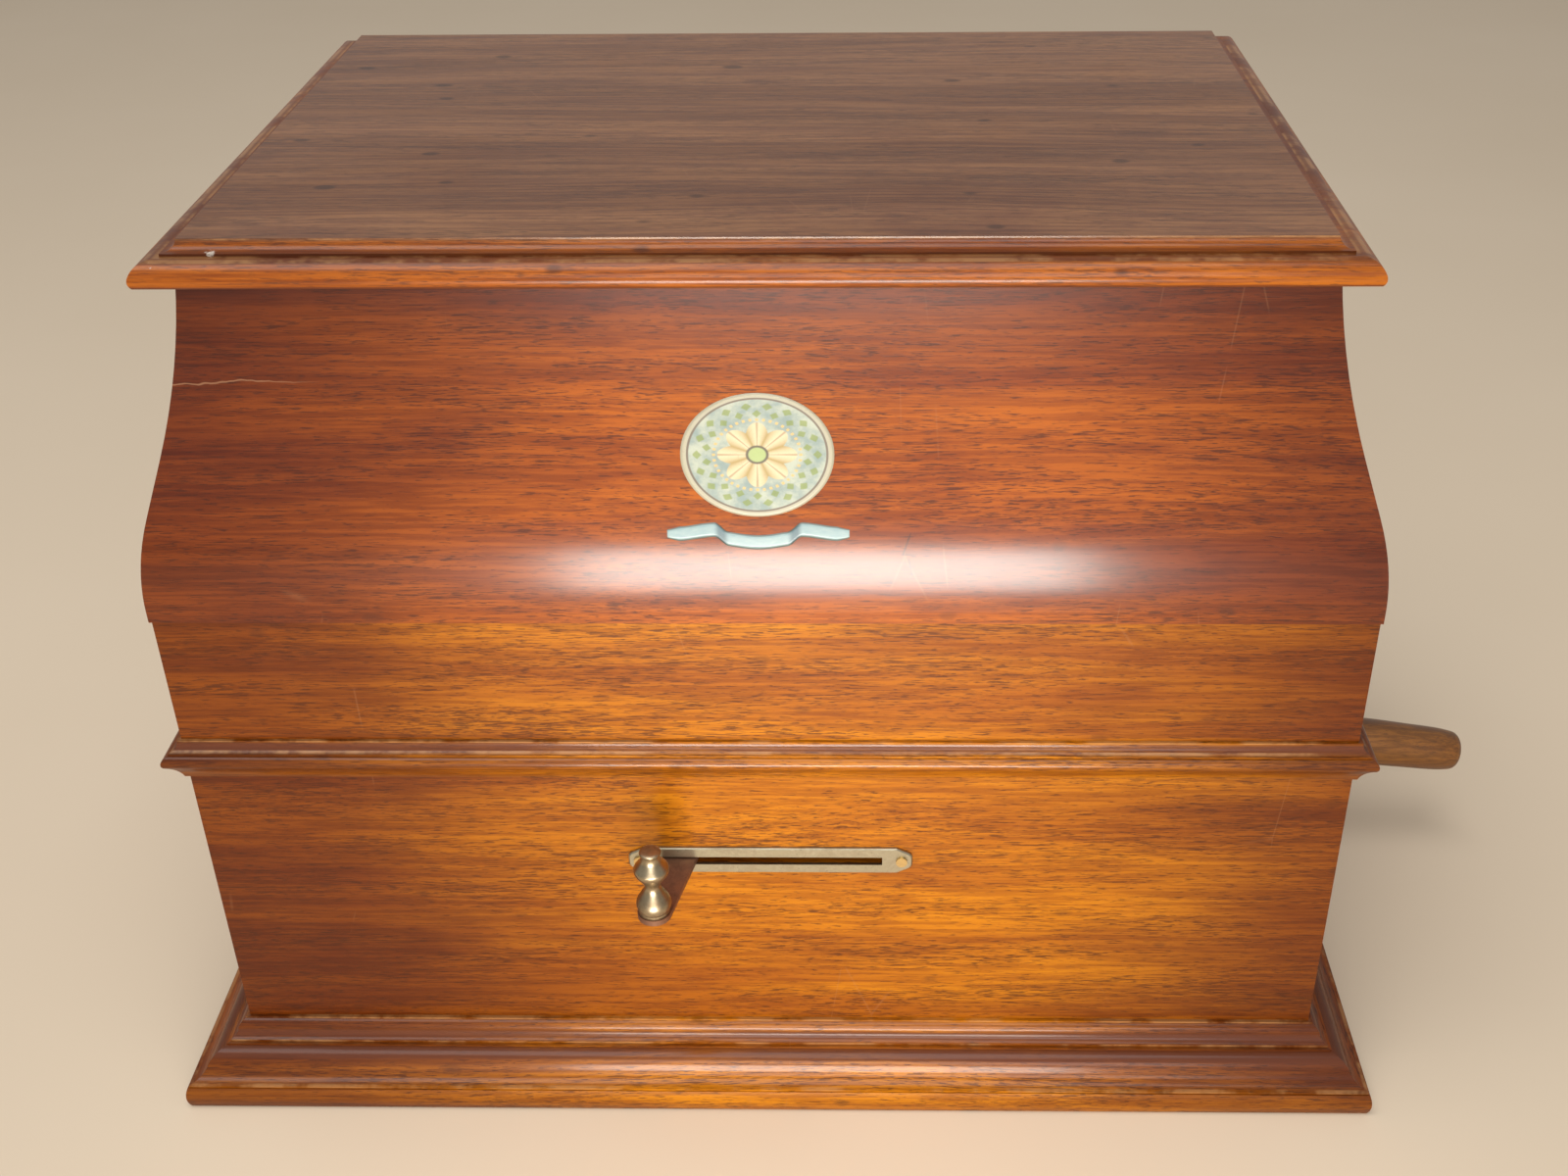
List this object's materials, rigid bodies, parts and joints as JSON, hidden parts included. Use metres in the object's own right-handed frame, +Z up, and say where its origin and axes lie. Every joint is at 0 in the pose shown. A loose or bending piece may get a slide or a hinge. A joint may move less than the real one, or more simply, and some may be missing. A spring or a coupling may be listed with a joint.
{
  "type": "table gramophone",
  "caption": "Wooden table gramophone with a swelling hinged lid, moulded plinth, side winding crank, front speed lever, and a spring motor, turntable, tonearm and folded horn inside.",
  "frame": {"origin": "centre of the case on the plane it stands on", "axes": "+X to the right seen from the front, +Y to the back (the front faces -Y), +Z up"},
  "size_m": [0.6169, 0.4074, 0.3918],
  "materials": {
    "case_wood": "glossy varnished mahogany",
    "plinth_wood": "worn varnished mahogany",
    "lid_wood": "glossy varnished mahogany",
    "lid_top_wood": "worn satin mahogany",
    "board_wood": "satin varnish",
    "inner_wood": "bare wood",
    "grip_wood": "satin",
    "hinge_brass": "aged",
    "screw_steel": "turned",
    "aged_nickel": "aged nickel plate",
    "bronzed_steel": "bronzed",
    "motor_steel": "black japanned",
    "spring_steel": "blued",
    "gear_brass": "satin",
    "platter_metal": "nickel plate",
    "felt": "green felt",
    "pad_leather": "hard leather",
    "diaphragm_metal": "matt",
    "throat_iron": "black enamel",
    "grille_metal": "aged"
  },
  "bodies": {
    "case": {"front_panel": "case_wood", "back_panel": "case_wood", "left_panel": "case_wood", "right_panel": "case_wood", "bottom_board": "inner_wood", "inner_blocks": "inner_wood", "plinth_front": "plinth_wood", "plinth_back": "plinth_wood", "plinth_left": "plinth_wood", "plinth_right": "plinth_wood", "moulding_front": "plinth_wood", "moulding_left": "plinth_wood", "moulding_right": "plinth_wood", "hinge_base_leaves": "hinge_brass", "hinge_pins": "hinge_brass", "motor_board": "board_wood", "case_screws": "screw_steel", "lever_plate": "aged_nickel", "crank_escutcheon": "aged_nickel", "plate_screws": "aged_nickel", "motor_top_plate": "motor_steel", "motor_bottom_plate": "motor_steel", "motor_pillars": "motor_steel", "motor_bolts": "screw_steel", "bearing_brackets": "motor_steel", "tonearm_base": "aged_nickel", "horn_throat": "throat_iron", "horn_duct": "inner_wood", "horn_mouth": "inner_wood", "sound_grille": "grille_metal"},
    "lid": {"lid_front": "lid_wood", "lid_back": "lid_wood", "lid_left": "lid_wood", "lid_right": "lid_wood", "lid_top": "lid_top_wood", "hinge_lid_leaves": "hinge_brass", "lid_hinge_screws": "screw_steel"},
    "turntable": {"turntable": "platter_metal", "turntable_felt": "felt", "spindle": "screw_steel", "governor_wheel": "gear_brass"},
    "intermediate": {"intermediate_gear": "gear_brass"},
    "barrel": {"spring_barrel": "gear_brass", "barrel_cover": "gear_brass", "mainspring": "spring_steel"},
    "spring_arbor": {"spring_arbor": "screw_steel", "winding_wheel": "motor_steel"},
    "winding_arbor": {"winding_arbor": "screw_steel"},
    "crank": {"crank": "aged_nickel"},
    "grip": {"crank_grip": "grip_wood"},
    "governor": {"governor_shaft": "screw_steel", "governor_disc": "gear_brass", "governor_weights": "gear_brass"},
    "speed_lever": {"speed_lever": "bronzed_steel", "lever_knob": "aged_nickel", "brake_pad": "pad_leather"},
    "tonearm": {"tonearm": "aged_nickel"},
    "reproducer": {"soundbox": "aged_nickel", "diaphragm": "diaphragm_metal", "stylus_bar": "screw_steel"}
  },
  "joints": [
    {"name": "lid_hinge", "type": "hinge", "parent": "case", "child": "lid", "pos_m": [0, 0.1732, 0.24515], "axis": [-1, 0, 0], "range_deg": [0, 95]},
    {"name": "turntable_spin", "type": "hinge", "parent": "case", "child": "turntable", "pos_m": [0, 0, 0.15], "axis": [0, 0, 1], "continuous": true},
    {"name": "intermediate_spin", "type": "hinge", "parent": "case", "child": "intermediate", "pos_m": [0.02281, 0.02977, 0.14], "axis": [0, 0, 1], "continuous": true},
    {"name": "barrel_spin", "type": "hinge", "parent": "case", "child": "barrel", "pos_m": [0.072, 0, 0.115], "axis": [0, 0, 1], "continuous": true},
    {"name": "spring_arbor_turn", "type": "hinge", "parent": "case", "child": "spring_arbor", "pos_m": [0.072, 0, 0.14], "axis": [0, 0, 1], "continuous": true},
    {"name": "winding_arbor_turn", "type": "hinge", "parent": "case", "child": "winding_arbor", "pos_m": [0.12, 0, 0.1555], "axis": [1, 0, 0], "continuous": true},
    {"name": "crank_turn", "type": "hinge", "parent": "case", "child": "crank", "pos_m": [0.205, 0, 0.1555], "axis": [0.9914, 0, -0.1305], "continuous": true},
    {"name": "grip_spin", "type": "hinge", "parent": "crank", "child": "grip", "pos_m": [0.19456, 0, 0.07618], "axis": [0.9914, 0, -0.1305], "continuous": true},
    {"name": "governor_spin", "type": "hinge", "parent": "case", "child": "governor", "pos_m": [-0.03, -0.02, 0.163], "axis": [0, 1, 0], "continuous": true},
    {"name": "speed_lever_turn", "type": "hinge", "parent": "case", "child": "speed_lever", "pos_m": [0, 0, 0.1256], "axis": [0, 0, 1], "range_deg": [0, 25.4]},
    {"name": "tonearm_swing", "type": "hinge", "parent": "case", "child": "tonearm", "pos_m": [0.165, 0.115, 0.25], "axis": [0, 0, -1], "range_deg": [0, 41]},
    {"name": "reproducer_lift", "type": "hinge", "parent": "tonearm", "child": "reproducer", "pos_m": [0.165, -0.02, 0.258], "axis": [-1, 0, 0], "range_deg": [0, 110]}
  ],
  "couplings": [
    {"joint": "intermediate_spin", "follows": "turntable_spin", "ratio": -0.25},
    {"joint": "barrel_spin", "follows": "turntable_spin", "ratio": 0.0375},
    {"joint": "governor_spin", "follows": "turntable_spin", "ratio": 12.5},
    {"joint": "winding_arbor_turn", "follows": "crank_turn", "ratio": 1},
    {"joint": "spring_arbor_turn", "follows": "crank_turn", "ratio": -0.5}
  ]
}
